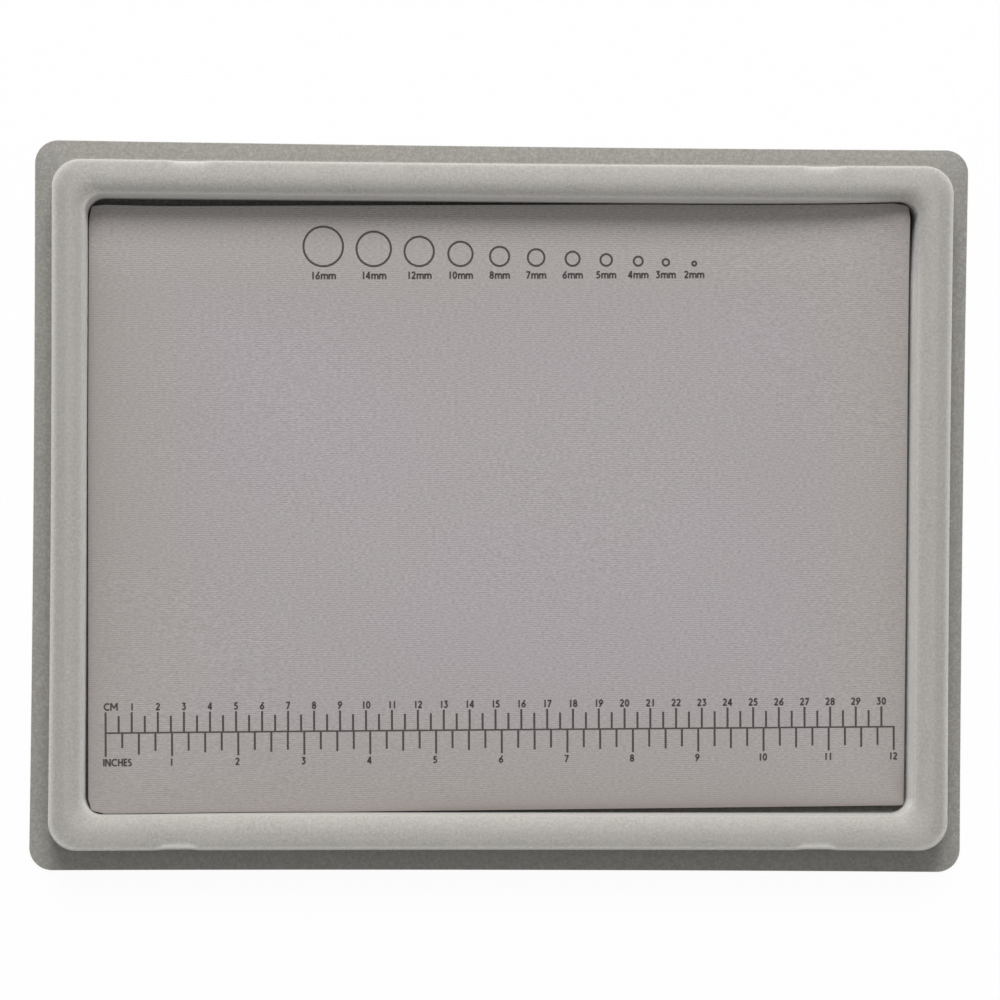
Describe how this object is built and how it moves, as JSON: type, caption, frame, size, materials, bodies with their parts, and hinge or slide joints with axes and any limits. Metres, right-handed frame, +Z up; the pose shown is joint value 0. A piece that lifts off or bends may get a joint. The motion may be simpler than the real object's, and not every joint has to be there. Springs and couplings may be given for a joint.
{
  "type": "bead mat in tray",
  "caption": "Shallow flocked tray with a raised rounded rim and flat flange, holding a loose printed foam-and-knit bead mat with a ruler and bead-size rings.",
  "frame": {"origin": "middle of the tray's outline, on the surface that the tray lies on", "axes": "+X along the ruler from its zero to its end, +Y from the ruler towards the bead rings, +Z up"},
  "size_m": [0.3604, 0.2798, 0.0175],
  "materials": {
    "styrene": "satin formed sheet, seen only from below",
    "flock": "short dense pile, matt",
    "foam": "fine closed foam, matt",
    "knit": "fine ribbed knit, matt",
    "ink": "matt print"
  },
  "bodies": {
    "tray": {"tray_shell": "styrene", "flock_pile": "flock"},
    "mat": {"mat_foam_base": "foam", "mat_knit_face": "knit", "ruler_scale": "ink", "ring_16mm": "ink", "ring_14mm": "ink", "ring_12mm": "ink", "ring_10mm": "ink", "ring_8mm": "ink", "ring_7mm": "ink", "ring_6mm": "ink", "ring_5mm": "ink", "ring_4mm": "ink", "ring_3mm": "ink", "ring_2mm": "ink"}
  },
  "joints": [
    {"name": "mat_lift", "type": "slide", "parent": "tray", "child": "mat", "axis": [0, 0, 1], "range_m": [0, 0.04]}
  ]
}
